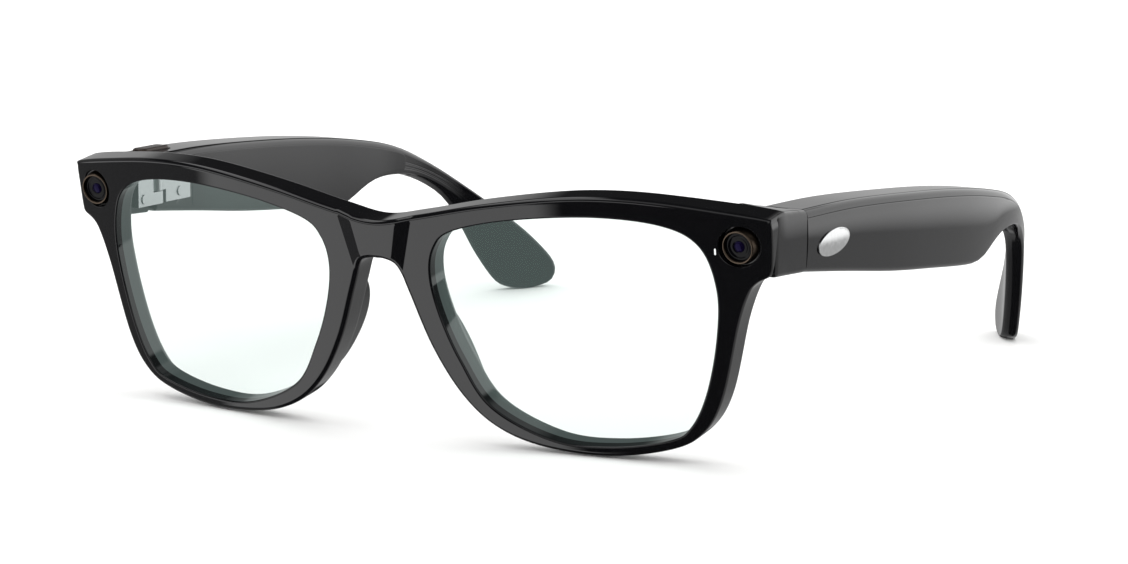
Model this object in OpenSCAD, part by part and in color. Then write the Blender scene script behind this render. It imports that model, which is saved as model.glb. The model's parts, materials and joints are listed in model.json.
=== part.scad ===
// Smart glasses: a full-rim front with a camera in each upper corner, and two thick hinged temples
// that hold the battery, the circuit board and the speakers.
// +Z is up, the wearer looks along -Y, and the wearer's left side is +X. The glasses stand open, on
// the lower rims and the two temple tips. The origin is on the floor, under the middle of the glasses.

/* [Front] */
// Thickness of the front, from its face to its back
front_t = 5.4; // [5:0.1:6]
// Lean of the front, its top towards -Y, in degrees
front_lean = 9.1; // [8.6:0.1:9.6]
// Thickness of a lens
lens_t = 2; // [1.6:0.1:2.4]
// Depth of the groove that holds a lens
groove_d = 0.8; // [0.5:0.1:1]

/* [Cameras] */
// Distance of a camera from the middle of the glasses
camera_x = 62.4; // [62:0.1:62.8]
// Height of a camera above the middle of the lenses
camera_z = 15.1; // [14.6:0.1:15.4]
// Radius of a camera's bezel at its front edge
bezel_r = 2.65; // [2.5:0.05:2.8]

/* [Hinges] */
// Radius of a hinge knuckle
knuckle_r = 1.9; // [1.7:0.1:2]
// Radius of a hinge pin
pin_r = 0.7; // [0.6:0.05:0.8]
// Height of a hinge
hinge_h = 7; // [6:0.5:7.5]
// Radial clearance between the pin and the temple's knuckle
pin_gap = 0.04; // [0.02:0.01:0.08]

/* [Temples] */
// Thickness of a temple's outer wall
wall_t = 1.3; // [1.1:0.1:1.5]
// Thickness of a temple's inner cover
cover_t = 1.2; // [1:0.1:1.3]
// Width of the shell's lip around the inner cover
lip_w = 0.8; // [0.7:0.1:1]

/* [Controls] */
// Length of the capture button
button_l = 8.4; // [7:0.2:8.6]
// Height of the capture button above the temple's top
button_proud = 0.6; // [0.5:0.1:0.8]
// Travel of the power switch
switch_travel = 2; // [1.5:0.1:2.2]

/* [Hidden] */

black = "#141518";
steel = "#b8bcc2";
eps = 0.01;

// Place of the bridge's face above and in front of the origin
floor_h = 20.5;
mid_y = 72;

// Outline of the front seen from ahead, from the top of the bridge round to its underside.
// Heights are from the middle of the lenses.
rim_half = [
    [0, 16.7], [7.8, 18], [19.3, 20.4], [31.5, 22.2], [40.5, 22.7], [49.8, 22.2], [60.4, 20.7],
    [66.7, 19.5], [67.3, 18.8], [67.4, 16.5], [67.1, 11], [66.4, 9.9], [64.7, 9], [63.3, 7.2],
    [61.4, 1.8], [58.2, -10.7], [54.4, -16.8], [48.6, -19.6], [38, -21.1], [27, -20.1],
    [19.2, -17.2], [13.5, -12.1], [8.8, -4.4], [5.3, 4.6], [3.5, 9.1], [1.6, 10.1], [0, 10.2]
];
// Opening of the +X lens, clockwise from its nose side
opening_points = [
    [9.9, 8], [11, 12.8], [14.5, 15.8], [25, 18.2], [39, 19.3], [50.3, 18.2], [56.1, 14.9],
    [58.4, 8], [58, 0], [56, -9], [53.2, -15], [49.5, -17.6], [39.5, -19.2], [29.5, -18.6],
    [19.2, -13.8], [14.2, -6.1], [11.1, 1.5]
];
// Middle line of the channel along the back of the brow
channel_half = [[0, 13.6], [9, 16.2], [20, 18.9], [32, 20.6], [42, 21], [52, 20.2], [59.5, 17.5]];

// A temple seen from above, as [distance back, distance out]: its outer face, and its thickness
outer_points = [[10, 67.3], [35, 69], [60, 70.4], [85, 70.7], [105, 69], [122, 64.8], [135, 59.4], [148, 52]];
thick_points = [[10, 8.6], [40, 8.4], [85, 7.4], [105, 5.6], [120, 4.1], [148, 3.4]];
// A temple seen from the side, as [distance back, height]: its upper edge, then its lower edge
upper_points = [
    [18.7, 20.8], [35, 20.6], [55, 19.4], [75, 17.7], [92, 15.5], [106, 12.7], [117, 8.2],
    [127, 2.2], [137, -5.1], [143, -10.7], [146.7, -15.7], [146, -19.2], [142.5, -20.5]
];
lower_points = [
    [138.5, -20.4], [135.2, -18.6], [130.7, -12.4], [127, -5.9], [123, 0], [117, 4], [110, 6.4],
    [103, 7], [97, 6.6], [92, 5.3], [87, 3.6], [81, 3.4], [65, 5], [50, 6.6], [33, 8.9], [18.7, 10.7]
];

// Lens seat, measured back from the face
lens_y = 1.9;
// Brow channel: half its height, its depth, and its cover's thickness
channel_w = 0.75;
channel_d = 2.1;
channel_cover_t = 1;
flex_t = 0.3;
// Distance between the charging contacts in the back of the bridge
contact_pitch = 2.2;

// Camera stack, measured back along its axis
bezel_y = 7.3;
bezel_base_r = bezel_r + 0.4;
bezel_end_y = 9.6;
window_y = 7.8;
window_t = 0.5;
window_r = 2.3;
barrel_r = 2.2;
board_y = 12;
board_t = 0.8;
board_w = 6;

// Seam between an end piece and its temple, and the hinge's axis
seam_y = 18.6;
seam_gap = 0.2;
hinge_x = 60.2;
hinge_y = seam_y;
hinge_z = 15.7;
leaf_t = 1;
leaf_gap = 0.3;
middle_h = 2.4;
knuckle_play = 0.1;
end_top_z = 20.7;
end_low_z = 10.7;
end_inner_x = 59.3;
end_cut_y = 17.3;
screw_r = 0.5;
screw_head_r = 0.9;

// Hollow of a temple
hollow_y0 = 31;
hollow_y1 = 108;
hollow_in = 1.5;

// Capture button, in the top of the right temple
button_w = 3;
button_x = 64.6;
button_y = 24.2;
button_low_z = 18.7;
button_gap = 0.1;
button_travel = 0.4;

// Power switch, in the inner face of the left temple
switch_y = 39;
switch_z = 14;
knob_l = 3.4;
knob_h = 2.2;
knob_x = 60.3;
knob_base_x = 62.5;
knob_gap = 0.15;

// Underside slot that a speaker plays through, and the microphone's place
grille_y0 = 77;
grille_y1 = 86;
grille_w = 2.4;
grille_z = 3.9;
grille_t = 0.9;
mic_y = 34;

// Flat metal core in the middle of a temple tip, as [distance back, height]
core_w = 1.4;
core_t = 0.9;
core_points = [[107.5, 9.2], [113, 7.6], [119, 4.8], [125, 0], [130, -4.6], [135, -10.5]];

// Badge on a temple's outer face: its middle, length, end radius and turn
emblem_y = 27.2;
emblem_z = 14.6;
emblem_l = 10.4;
emblem_r = 1.7;
emblem_turn = -3.6;

// Point at t between b and c, on the smooth curve through a, b, c and d
function spline(a, b, c, d, t) =
    0.5 * (2 * b + (c - a) * t + (2 * a - 5 * b + 4 * c - d) * t * t + (3 * b - a - 3 * c + d) * t * t * t);
// Smooth open curve through the points p
function smooth(p, n = 5) = [
    for (i = [0 : len(p) - 2], k = [0 : n - 1])
        spline(p[max(i - 1, 0)], p[i], p[i + 1], p[min(i + 2, len(p) - 1)], k / n),
    p[len(p) - 1]
];
// Smooth closed curve through the points p
function smooth_loop(p, n = 4) = [
    for (i = [0 : len(p) - 1], k = [0 : n - 1])
        let (m = len(p))
        spline(p[(i + m - 1) % m], p[i], p[(i + 1) % m], p[(i + 2) % m], k / n)
];
// The half outline p without its ends, mirrored, in reverse order
function other_half(p) = [for (i = [len(p) - 2 : -1 : 1]) [-p[i].x, p[i].y]];
// The clockwise loop p moved outwards by d
function grow(p, d) = [
    for (i = [0 : len(p) - 1])
        let (t = p[(i + 1) % len(p)] - p[(i + len(p) - 1) % len(p)])
        p[i] + d * [-t.y, t.x] / norm(t)
];
// The open line p moved sideways by d
function beside(p, d) = [
    for (i = [0 : len(p) - 1])
        let (t = p[min(i + 1, len(p) - 1)] - p[max(i - 1, 0)])
        p[i] + d * [-t.y, t.x] / norm(t)
];
// The points p with their order turned round
function reversed(p) = [for (i = [len(p) - 1 : -1 : 0]) p[i]];

// Bow of the front's face: distance back at x
function face_y(x) = 1.872e-3 * pow(x, 2) + 3.24e-8 * pow(x, 4);

rim = smooth_loop(concat(rim_half, other_half(rim_half)), 3);
opening = smooth_loop(opening_points, 4);
channel = smooth(concat(reversed([for (p = channel_half) if (p.x > 0) [-p.x, p.y]]), channel_half), 4);
outer_line = smooth(outer_points, 5);
upper_line = smooth(upper_points, 5);
lower_line = smooth(lower_points, 5);
low_table = reversed([for (p = lower_line) if (p.x < 112) p]);
temple_side = concat(upper_line, lower_line);

// A temple's outer face, inner face, upper edge and lower edge at a distance back
function out_x(y) = lookup(y, outer_line);
function in_x(y) = out_x(y) - lookup(y, thick_points);
function top_z(y) = lookup(y, upper_line);
function low_z(y) = lookup(y, low_table);
function mid_z(y) = (top_z(y) + low_z(y)) / 2;
// Middle of the speaker slot, outwards
function grille_x() = in_x(81) + 3.4;

// Moves from the bridge's face to the origin on the floor
module stand() translate([0, -mid_y, floor_h]) children();

// The same piece on the +X side, s = 1, or the -X side, s = -1
module side(s) {
    if (s > 0) children();
    else mirror([1, 0, 0]) children();
}

// Leans the front's own frame, whose face is its XZ plane
module lean() rotate([front_lean, 0, 0]) children();

// A flat outline in X and Z, carried right through the front along Y
module through() translate([0, 60, 0]) rotate([90, 0, 0]) linear_extrude(90) children();

// The part of an outline between the distances y0 and y1 behind the bowed face
module bowed(y0, y1) {
    half = 69;
    step = 3;
    intersection() {
        translate([0, 0, -30]) linear_extrude(60) polygon(concat(
            [for (x = [-half : step : half]) [x, face_y(x) + y0]],
            [for (x = [half : -step : -half]) [x, face_y(x) + y1]]
        ));
        through() children();
    }
}

// A band of half-width w along the brow channel
module channel_band(w, reach) {
    kept = [for (p = channel) if (abs(p.x) < reach) p];
    polygon(concat([for (p = kept) p + [0, w]], reversed([for (p = kept) p - [0, w]])));
}

// A cylinder on the camera's axis, from y0 to y1 behind the front's datum
module camera_disc(r, y0, y1)
    translate([camera_x, y1, camera_z]) rotate([90, 0, 0]) cylinder(r = r, h = y1 - y0, $fn = 64);

// A block on the camera's axis
module camera_block(w, y0, y1)
    translate([camera_x - w / 2, y0, camera_z - w / 2]) cube([w, y1 - y0, w]);

// A cylinder along X, from x0 to x1
module pin_x(r, x0, x1, y, z)
    translate([x0, y, z]) rotate([0, 90, 0]) cylinder(r = r, h = x1 - x0, $fn = 32);

// An upright cylinder on the hinge's axis, between heights z0 and z1 from the hinge's middle
module hinge_disc(r, z0, z1)
    translate([hinge_x, hinge_y, hinge_z + z0]) cylinder(r = r, h = z1 - z0, $fn = 48);

// A block between two corners
module block(a, b) translate(a) cube(b - a);

// Front ------------------------------------------------------------------

// End piece that carries a hinge, behind an upper corner of the front
module end_piece() {
    intersection() {
        linear_extrude(40) polygon([
            [end_inner_x - 3.5, 7], [end_inner_x - 0.6, 12], [end_inner_x, 14], [end_inner_x, end_cut_y],
            [hinge_x + 1.5, end_cut_y], [hinge_x + 1.5, seam_y - seam_gap / 2],
            [out_x(seam_y), seam_y - seam_gap / 2], [67.35, 9]
        ]);
        translate([50, 0, 0]) rotate([90, 0, 90]) linear_extrude(30) polygon([
            [5, end_low_z + 0.7], [seam_y, end_low_z], [seam_y, end_top_z + 0.1], [5, end_top_z]
        ]);
    }
}

module front_frame() color(black) stand() difference() {
    union() {
        lean() bowed(0, front_t) polygon(rim);
        for (s = [1, -1]) side(s) end_piece();
    }
    for (s = [1, -1]) side(s) {
        lean() {
            through() polygon(opening);
            bowed(lens_y, lens_y + lens_t) polygon(grow(opening, groove_d));
            camera_disc(bezel_base_r, -10, bezel_end_y);
            camera_disc(barrel_r, bezel_end_y - eps, board_y);
            camera_block(board_w, board_y - eps, 30);
        }
        hinge_disc(knuckle_r + leaf_gap, -hinge_h / 2 - leaf_gap, hinge_h / 2 + leaf_gap);
        front_leaf_plate();
        front_screw();
    }
    lean() {
        bowed(front_t - channel_d, front_t + 1) channel_band(channel_w, 57);
        translate([-1.6, front_t - channel_d - 1.2, 12.3]) cube([3.2, 1.3, 2.6]);
        translate([0, front_t - channel_d - 0.6, 9]) cylinder(r = 0.4, h = 4, $fn = 24);
        for (i = [-1 : 1]) contact_pin(i * contact_pitch);
        light_pipe();
    }
}

// Strip that closes the channel along the back of the brow
module brow_cover() color("#1b1c1f") stand() lean()
    bowed(front_t - channel_cover_t, front_t) channel_band(channel_w, 57);

module front_flex() color("#b06a1f") stand() lean()
    bowed(front_t - channel_d, front_t - channel_d + flex_t) channel_band(channel_w - 0.15, 56);

module lens(s) color([0.85, 0.97, 0.95, 0.35]) stand() lean() side(s)
    bowed(lens_y, lens_y + lens_t) polygon(grow(opening, groove_d));

// Pad moulded onto the back of the rim beside the nose
module nose_pad(s) color(black) stand() lean() side(s) difference() {
    hull() {
        translate([8.2, 4.6, 4.5]) sphere(r = 1.8, $fn = 24);
        translate([9.3, 8.3, 1]) sphere(r = 1.5, $fn = 24);
        translate([11.6, 8.6, -6.5]) sphere(r = 1.5, $fn = 24);
        translate([13.2, 4.8, -9.5]) sphere(r = 1.8, $fn = 24);
    }
    translate([0, -8 + front_t + face_y(14), -20]) cube([30, 8, 40]);
}

// Conical metal bezel that stands round a camera's window
module camera_bezel(s) color("#5b5148") stand() lean() side(s)
    translate([camera_x, 0, camera_z]) rotate([90, 0, 0]) rotate_extrude($fn = 64) polygon([
        [window_r, -bezel_y], [bezel_r, -bezel_y], [bezel_base_r, -bezel_y - 1.4],
        [bezel_base_r, -bezel_end_y], [barrel_r, -bezel_end_y], [barrel_r, -window_y - window_t],
        [window_r, -window_y - window_t]
    ]);

module camera_window(s) color("#101018") stand() lean() side(s)
    camera_disc(window_r, window_y, window_y + window_t);

module camera_barrel(s) color("#26262a") stand() lean() side(s)
    camera_disc(barrel_r, window_y + window_t, board_y);

module camera_board(s) color("#1f5a3a") stand() lean() side(s)
    camera_block(board_w, board_y, board_y + board_t);

// Block that fills the pocket behind a camera, up to the seam
module camera_plug(s) color("#1b1c1f") stand() side(s) difference() {
    intersection() {
        lean() camera_block(board_w, board_y + board_t, 30);
        end_piece();
    }
    hinge_disc(knuckle_r + leaf_gap, -hinge_h / 2 - leaf_gap, hinge_h / 2 + leaf_gap);
    front_leaf_plate();
    front_screw();
}

// Light pipe beside the left camera, lit while the cameras record
module light_pipe() translate([58.6, 12, 14.4]) rotate([90, 0, 0]) cylinder(r = 0.35, h = 12, $fn = 24);

module record_light() color("white") stand() lean()
    intersection() {
        light_pipe();
        bowed(0, 3) translate([57, 13]) square(3);
    }

module bridge_microphone() color("#c9b458") stand() lean()
    translate([-1.5, front_t - channel_d - 1.2, 12.5]) cube([3, 1.2, 2.2]);

// One contact of the charging case's three, in the back of the bridge
module contact_pin(x)
    translate([x, front_t + 0.1, 11.6]) rotate([90, 0, 0]) cylinder(r = 0.6, h = 1.3, $fn = 32);

module charge_contacts() color("#d8b45a") stand() lean()
    for (i = [-1 : 1]) contact_pin(i * contact_pitch);

// Hinges -----------------------------------------------------------------

// Flat part of the hinge leaf on the end piece's inner side
module front_leaf_plate()
    translate([hinge_x - knuckle_r, hinge_y - 6.6, hinge_z - hinge_h / 2]) cube([leaf_t + 0.4, 5.3, hinge_h]);

// Screw that holds the front leaf, its head towards the inside
module front_screw() for (dz = [-2.2, 2.2]) {
    face_x = hinge_x - knuckle_r;
    pin_x(screw_r, face_x, hinge_x + 1.4, hinge_y - 4.8, hinge_z + dz);
    pin_x(screw_head_r, face_x - 0.2, face_x + 0.5, hinge_y - 4.8, hinge_z + dz);
}

module front_leaf(s) color(steel) stand() side(s) difference() {
    union() {
        front_leaf_plate();
        translate([hinge_x - knuckle_r, hinge_y - 2, hinge_z - hinge_h / 2]) cube([leaf_t, 2, hinge_h]);
        hinge_disc(knuckle_r, -hinge_h / 2, hinge_h / 2);
    }
    translate([hinge_x - 5, hinge_y - knuckle_r - leaf_gap, hinge_z - middle_h / 2 - knuckle_play])
        cube([10, 10, middle_h + 2 * knuckle_play]);
    hinge_disc(pin_r, -10, 10);
    front_screw();
}

module front_leaf_screws() color(steel) stand()
    for (s = [1, -1]) side(s) front_screw();

// Pin pressed into the front leaf's knuckles, with a low head on top
module hinge_pin(s) color("#8d9198") stand() side(s) {
    hinge_disc(pin_r, -hinge_h / 2, hinge_h / 2);
    hinge_disc(pin_r + 0.4, hinge_h / 2, hinge_h / 2 + 0.25);
}

// Flat part of the hinge leaf on the temple's inner side
module temple_leaf_plate()
    block([hinge_x - 1.3, hinge_y + knuckle_r + 0.4, hinge_z - hinge_h / 2],
        [hinge_x - 0.1, hinge_y + 9.6, hinge_z + hinge_h / 2]);

module temple_screw() for (dz = [-2, 2]) {
    pin_x(screw_r, hinge_x - 1.3, hinge_x + 3, hinge_y + 6.6, hinge_z + dz);
    pin_x(screw_head_r, hinge_x - 1.5, hinge_x - 0.8, hinge_y + 6.6, hinge_z + dz);
}

module temple_leaf(s) color(steel) stand() side(s) difference() {
    union() {
        temple_leaf_plate();
        hinge_disc(knuckle_r, -middle_h / 2, middle_h / 2);
        block([hinge_x - 1.3, hinge_y, hinge_z - middle_h / 2],
            [hinge_x - 0.1, hinge_y + 3, hinge_z + middle_h / 2]);
    }
    hinge_disc(pin_r + pin_gap, -10, 10);
    temple_screw();
}

module temple_leaf_screws(s) color(steel) stand() side(s) temple_screw();

// Temples ----------------------------------------------------------------

// Slab between the distances a in from the temple's inner face and b in from its outer face
module layer(a, b, y0, y1) {
    ys = [for (i = [0 : 16]) y0 + (y1 - y0) * i / 16];
    translate([0, 0, -30]) linear_extrude(70) polygon(concat(
        [for (y = ys) [in_x(y) + a, y]],
        reversed([for (y = ys) [out_x(y) - b, y]])
    ));
}

// Slab that follows a temple's inner face, between the distances a and b in from it
module inner_skin(a, b, y0, y1) {
    ys = [for (i = [0 : 16]) y0 + (y1 - y0) * i / 16];
    translate([0, 0, -30]) linear_extrude(70) polygon(concat(
        [for (y = ys) [in_x(y) + a, y]],
        reversed([for (y = ys) [in_x(y) + b, y]])
    ));
}

// Outline in Y and Z, carried across the temple along X
module across() translate([40, 0, 0]) rotate([90, 0, 90]) linear_extrude(40) children();

// Side outline inset by d from the temple's edges, from y0 to y1
module inset_side(d, y0, y1) {
    ys = [for (i = [0 : 20]) y0 + (y1 - y0) * i / 20];
    polygon(concat(
        [for (y = ys) [y, top_z(y) - d]],
        reversed([for (y = ys) [y, low_z(y) + d]])
    ));
}

module temple_hollow() intersection() {
    layer(cover_t - 0.3, wall_t, hollow_y0, hollow_y1);
    across() inset_side(hollow_in, hollow_y0, hollow_y1);
}

module cover_blank() intersection() {
    inner_skin(-3, cover_t, hollow_y0 - 1, hollow_y1 + 1);
    across() inset_side(lip_w, hollow_y0 - 1, hollow_y1 + 1);
}

// The whole temple before it is hollowed
module temple_blank() {
    y0 = seam_y + seam_gap / 2;
    ys = [for (i = [0 : 44]) y0 + (148 - y0) * i / 44];
    intersection() {
        across() polygon(temple_side);
        translate([0, 0, -30]) linear_extrude(70) polygon(concat(
            [for (y = ys) [in_x(y), y]],
            reversed([for (y = ys) [out_x(y), y]])
        ));
    }
}

// Room for the hinge in the temple's front end
module hinge_room() {
    hinge_disc(knuckle_r + leaf_gap, -hinge_h / 2 - leaf_gap, hinge_h / 2 + leaf_gap);
    block([50, 10, hinge_z - hinge_h / 2 - leaf_gap],
        [hinge_x + 0.2, hinge_y + knuckle_r + 0.4, hinge_z + hinge_h / 2 + leaf_gap]);
    temple_leaf_plate();
    temple_screw();
}

// Block the size of the speaker slot, between two heights
module grille_box(z0, z1)
    block([grille_x() - grille_w / 2, grille_y0, z0], [grille_x() + grille_w / 2, grille_y1, z1]);

module mic_port() translate([in_x(mic_y) + 4, mic_y, 5]) cylinder(r = 0.4, h = 6, $fn = 24);

// Flat metal core that runs from the hollow down the middle of the temple tip
module core_strip() {
    line = smooth(core_points, 3);
    y0 = core_points[0].x;
    y1 = core_points[len(core_points) - 1].x;
    ys = [for (i = [0 : 12]) y0 - 1 + (y1 + 2 - y0) * i / 12];
    function mid_x(y) = out_x(y) - lookup(y, thick_points) / 2;
    intersection() {
        across() polygon(concat(beside(line, core_w / 2), reversed(beside(line, -core_w / 2))));
        translate([0, 0, -30]) linear_extrude(70) polygon(concat(
            [for (y = ys) [mid_x(y) - core_t / 2, y]],
            reversed([for (y = ys) [mid_x(y) + core_t / 2, y]])
        ));
    }
}

// Plain oval badge on the temple's outer face
module emblem_plate(t) translate([out_x(emblem_y), emblem_y, emblem_z]) rotate([0, 0, emblem_turn])
    translate([-0.5, 0, 0]) rotate([90, 0, 90]) linear_extrude(t) {
        square([emblem_l - 2 * emblem_r, 2 * emblem_r], center = true);
        for (d = [-1, 1]) translate([d * (emblem_l / 2 - emblem_r), 0]) circle(r = emblem_r, $fn = 48);
    }

module temple_shell(s) color(black) stand() side(s) difference() {
    temple_blank();
    temple_hollow();
    cover_blank();
    hinge_room();
    emblem_plate(3);
    grille_box(0, 8);
    mic_port();
    core_strip();
    if (s < 0) button_pocket();
}

module temple_cover(s) color("#1b1c1f") stand() side(s) difference() {
    intersection() {
        cover_blank();
        temple_blank();
    }
    if (s > 0) knob_box(50, 70, knob_gap, knob_gap + switch_travel);
}

module emblem(s) color("#c8ccd2") stand() side(s) emblem_plate(0.8);

// Box round the switch knob, from x0 to x1: gap wider all round, and back_gap longer at the back
module knob_box(x0, x1, gap, back_gap)
    block([x0, switch_y - knob_l / 2 - gap, switch_z - knob_h / 2 - gap],
        [x1, switch_y + knob_l / 2 + back_gap, switch_z + knob_h / 2 + gap]);

// A straight bar inside the temple: between y0 and y1, its near side a and its far side b in from
// the inner face, and its lower and upper sides z0 and z1 from the temple's middle height
module bar(y0, y1, a, b, z0, z1) intersection() {
    linear_extrude(40) polygon([
        [in_x(y0) + a, y0], [in_x(y0) + b, y0], [in_x(y1) + b, y1], [in_x(y1) + a, y1]
    ]);
    across() polygon([
        [y0, mid_z(y0) + z0], [y0, mid_z(y0) + z1], [y1, mid_z(y1) + z1], [y1, mid_z(y1) + z0]
    ]);
}

module speaker(s) color("#3c3f44") stand() side(s) bar(88.5, 98.5, 1.6, 4.2, -1.7, 1.7);

module speaker_grille(s) color("#2b2d31") stand() side(s) difference() {
    grille_box(grille_z, grille_z + grille_t);
    for (i = [0 : 4]) translate([grille_x() - 0.8, grille_y0 + 1 + 1.6 * i, grille_z - 1])
        cube([1.6, 0.7, 3]);
}

module microphone(s) color("#c9b458") stand() side(s)
    block([in_x(mic_y) + 2.8, mic_y - 1.6, low_z(mic_y) + 1.9],
        [in_x(mic_y) + 5.2, mic_y + 1.6, low_z(mic_y) + 2.9]);

module tip_core(s) color(steel) stand() side(s) core_strip();

// Left temple's contents
module battery() color("#9aa0a8") stand() bar(51, 86, 1.9, 5, -3.6, 4);

module charge_board() color("#1f5a3a") stand() bar(43.8, 50.4, 4.2, 5, -3, 3.4);

module power_switch() color("#2b2d31") stand() {
    knob_box(knob_x, knob_base_x + eps, 0, 0);
    knob_box(knob_base_x, knob_base_x + 0.6, 0.8, 0.8);
}

module switch_body() color("#55585e") stand()
    block([knob_base_x + 0.75, switch_y - 3.4, switch_z - 2.2],
        [knob_base_x + 3, switch_y + 4.6, switch_z + 2.2]);

// Right temple's contents
module main_board() color("#1f5a3a") stand() side(-1) bar(38, 86, 1.9, 2.7, -3.6, 3.8);

module shield_can() color(steel) stand() side(-1) bar(42, 66, 2.7, 4.3, -3.2, 3.4);

// Thin pad behind the outer wall that feels taps and swipes
module touch_sensor() color("#b06a1f") stand() side(-1) {
    y0 = 42;
    y1 = 82;
    ys = [for (i = [0 : 8]) y0 + (y1 - y0) * i / 8];
    intersection() {
        linear_extrude(60) polygon(concat(
            [for (y = ys) [out_x(y) - wall_t - 0.35, y]],
            reversed([for (y = ys) [out_x(y) - wall_t - 0.1, y]])
        ));
        across() inset_side(3, y0, y1);
    }
}

module button_box(gap, z0, z1)
    block([button_x - button_w / 2 - gap, button_y - button_l / 2 - gap, z0],
        [button_x + button_w / 2 + gap, button_y + button_l / 2 + gap, z1]);

module button_pocket() {
    button_box(button_gap, button_low_z - button_travel - 0.1, 30);
    block([button_x - 1.4, button_y - 1.8, button_low_z - 2.2],
        [button_x + 1.4, button_y + 1.8, button_low_z]);
}

module capture_button() color("#4a443f") stand() side(-1)
    button_box(0, button_low_z, top_z(button_y) + button_proud);

module capture_switch() color("#55585e") stand() side(-1)
    block([button_x - 1.4, button_y - 1.8, button_low_z - 2.2],
        [button_x + 1.4, button_y + 1.8, button_low_z - button_travel - 0.1]);

front_frame();
brow_cover();
lens(1);  // lens_left
lens(-1);  // lens_right
nose_pad(1);  // nose_pad_left
nose_pad(-1);  // nose_pad_right
camera_bezel(1);  // camera_bezel_left
camera_bezel(-1);  // camera_bezel_right
camera_window(1);  // camera_window_left
camera_window(-1);  // camera_window_right
camera_barrel(1);  // camera_barrel_left
camera_barrel(-1);  // camera_barrel_right
camera_board(1);  // camera_board_left
camera_board(-1);  // camera_board_right
camera_plug(1);  // camera_plug_left
camera_plug(-1);  // camera_plug_right
record_light();
front_flex();
bridge_microphone();
charge_contacts();
front_leaf(1);  // front_leaf_left
front_leaf(-1);  // front_leaf_right
hinge_pin(1);  // hinge_pin_left
hinge_pin(-1);  // hinge_pin_right
front_leaf_screws();
temple_shell(1);  // temple_shell_left
temple_shell(-1);  // temple_shell_right
temple_cover(1);  // temple_cover_left
temple_cover(-1);  // temple_cover_right
temple_leaf(1);  // temple_leaf_left
temple_leaf(-1);  // temple_leaf_right
temple_leaf_screws(1);  // temple_leaf_screws_left
temple_leaf_screws(-1);  // temple_leaf_screws_right
emblem(1);  // emblem_left
emblem(-1);  // emblem_right
speaker(1);  // speaker_left
speaker(-1);  // speaker_right
speaker_grille(1);  // speaker_grille_left
speaker_grille(-1);  // speaker_grille_right
microphone(1);  // microphone_left
microphone(-1);  // microphone_right
tip_core(1);  // tip_core_left
tip_core(-1);  // tip_core_right
battery();
charge_board();
power_switch();
switch_body();
main_board();
shield_can();
touch_sensor();
capture_button();
capture_switch();
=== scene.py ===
"""Smart glasses: the looks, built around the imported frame.

Shapes are worked out in millimetres. The front has its own upright frame, whose XZ plane is the
bridge's face, and it leans by LEAN. The temples use the drawing's frame, with +Y to the back.
"""
import json
import math

import bpy
import numpy as np
from mathutils import Matrix, Vector
from mathutils.geometry import delaunay_2d_cdt


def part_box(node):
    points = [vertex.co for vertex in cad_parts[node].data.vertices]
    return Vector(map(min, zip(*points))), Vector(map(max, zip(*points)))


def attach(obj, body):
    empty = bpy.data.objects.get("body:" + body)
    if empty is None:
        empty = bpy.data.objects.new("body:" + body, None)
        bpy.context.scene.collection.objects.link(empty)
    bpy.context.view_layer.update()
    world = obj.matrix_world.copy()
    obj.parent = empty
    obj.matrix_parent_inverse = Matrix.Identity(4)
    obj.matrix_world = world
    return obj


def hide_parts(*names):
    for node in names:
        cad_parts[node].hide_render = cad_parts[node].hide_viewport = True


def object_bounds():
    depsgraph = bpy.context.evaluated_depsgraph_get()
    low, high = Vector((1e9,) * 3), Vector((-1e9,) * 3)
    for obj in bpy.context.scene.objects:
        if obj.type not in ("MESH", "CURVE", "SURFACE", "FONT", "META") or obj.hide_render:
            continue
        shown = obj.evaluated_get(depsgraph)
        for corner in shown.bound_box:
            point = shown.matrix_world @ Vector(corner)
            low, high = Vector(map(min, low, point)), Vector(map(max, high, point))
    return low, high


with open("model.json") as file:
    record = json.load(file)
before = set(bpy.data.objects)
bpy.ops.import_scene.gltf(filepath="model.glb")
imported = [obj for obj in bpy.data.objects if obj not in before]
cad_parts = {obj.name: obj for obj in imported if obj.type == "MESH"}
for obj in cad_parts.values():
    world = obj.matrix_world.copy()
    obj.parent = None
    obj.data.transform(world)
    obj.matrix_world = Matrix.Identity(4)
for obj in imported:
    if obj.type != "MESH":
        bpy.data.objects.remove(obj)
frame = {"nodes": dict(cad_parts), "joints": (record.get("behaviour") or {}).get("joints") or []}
CAD_LOW, CAD_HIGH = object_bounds()

bl_info = {
    "name": "Smart glasses",
    "version": (1, 0, 0),
    "blender": (4, 5, 0),
    "location": "View3D > Sidebar > Smart glasses",
    "description": "Builds a pair of black camera smart glasses around the packed frame",
    "category": "Add Mesh",
}

MM = 0.001
# The left hinge's place in the drawing, and so the drawing's origin in the row frame
HINGE = np.array([60.2, 18.6, 15.7])
FOLD = next(j for j in frame["joints"] if j["name"] == "fold_left")
ORIGIN = np.array(FOLD["pos_m"]) / MM - HINGE
LEAN = math.radians(9.1)

# Depths and thicknesses of the front and the lenses, behind the bowed face
FRONT_T = 5.4
LENS_Y = 1.55
LENS_T = 2.0
# How far a lens reaches into the groove round its opening
LENS_TUCK = 0.35
# Places on the front, [x, z], and the camera well's radius, floor depth and edge radius
CAMERA = (62.4, 15.1)
RECORD_LIGHT = (58.7, 14.3)
WELL_R = 3.3
WELL_FLOOR = 8.95
WELL_ROUND = 0.15
# Places across a bridge facet, from its outer crease to its inner one
CREASE_STEPS = (-0.08, 0.0, 0.1, 0.3, 0.5, 0.7, 0.9, 1.0, 1.08)
# Length of the capture button's round ends
BUTTON_END = 1.4
# The parting line between the front and the temples, and where the end pieces are cut for the hinge
SEAM_Y = 18.6
SEAM_GAP = 0.2
HINGE_CUT_X = 62.5

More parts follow.
